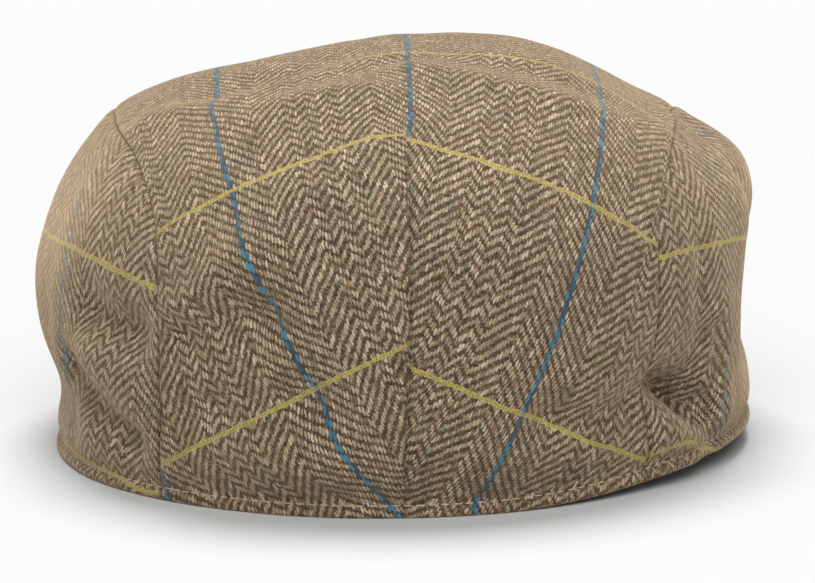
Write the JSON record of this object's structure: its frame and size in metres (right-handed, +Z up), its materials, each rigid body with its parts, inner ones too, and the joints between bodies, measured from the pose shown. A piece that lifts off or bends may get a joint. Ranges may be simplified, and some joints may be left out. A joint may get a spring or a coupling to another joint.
{
  "type": "flat cap",
  "caption": "Flat cap of herringbone tweed with a windowpane check: a top panel with a back dart, two side panels and a stiff peak.",
  "frame": {"origin": "on the surface that the cap lies on, under the middle of the cap's bounding box", "axes": "+Y towards the peak, +Z up, +X to the wearer's right"},
  "size_m": [0.187, 0.2623, 0.1057],
  "materials": {
    "tweed": "matt woven wool",
    "peak_tweed": "matt woven wool over a stiff board"
  },
  "bodies": {
    "root": {"top_panel": "tweed", "side_panel_left": "tweed", "side_panel_right": "tweed", "peak": "peak_tweed"}
  },
  "joints": []
}
